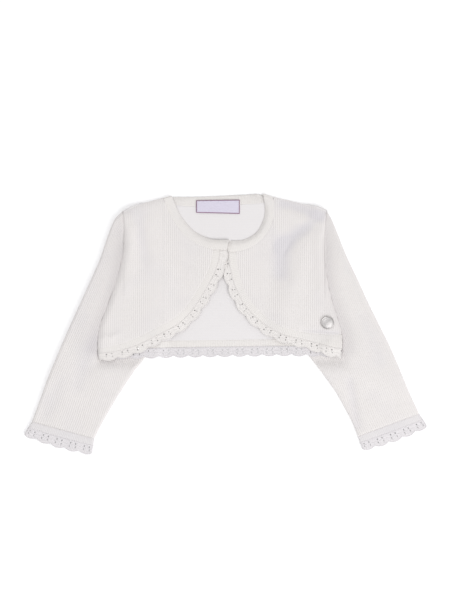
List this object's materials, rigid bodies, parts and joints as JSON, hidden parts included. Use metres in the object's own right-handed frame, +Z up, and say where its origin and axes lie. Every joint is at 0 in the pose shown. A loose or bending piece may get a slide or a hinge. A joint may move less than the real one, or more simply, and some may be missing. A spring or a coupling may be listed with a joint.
{
  "type": "cropped cardigan",
  "caption": "Long-sleeved cropped knitted cardigan with curved open fronts, a round neck and scalloped crochet edgings, laid out flat.",
  "frame": {"origin": "on the surface that it lies on, under the middle of its outline", "axes": "+X towards the wearer's left side, +Y towards the neck, +Z up, out of the front"},
  "size_m": [0.4614, 0.2994, 0.0118],
  "materials": {
    "knit": "fine off-white jersey knit, matt",
    "inside_knit": "purl side of the off-white knit, matt",
    "band": "close off-white rib, matt",
    "crochet": "off-white cotton crochet, matt",
    "label": "pale lavender woven satin with a darker edge",
    "charm_metal": "polished grey metal"
  },
  "bodies": {
    "root": {"back": "inside_knit", "front_right": "knit", "front_left": "knit", "sleeve_right": "knit", "sleeve_left": "knit", "neckband": "band", "trim_front_right": "crochet", "trim_front_left": "crochet", "trim_hem": "crochet", "trim_cuff_right": "crochet", "trim_cuff_left": "crochet", "label": "label", "charm": "charm_metal"}
  },
  "joints": []
}
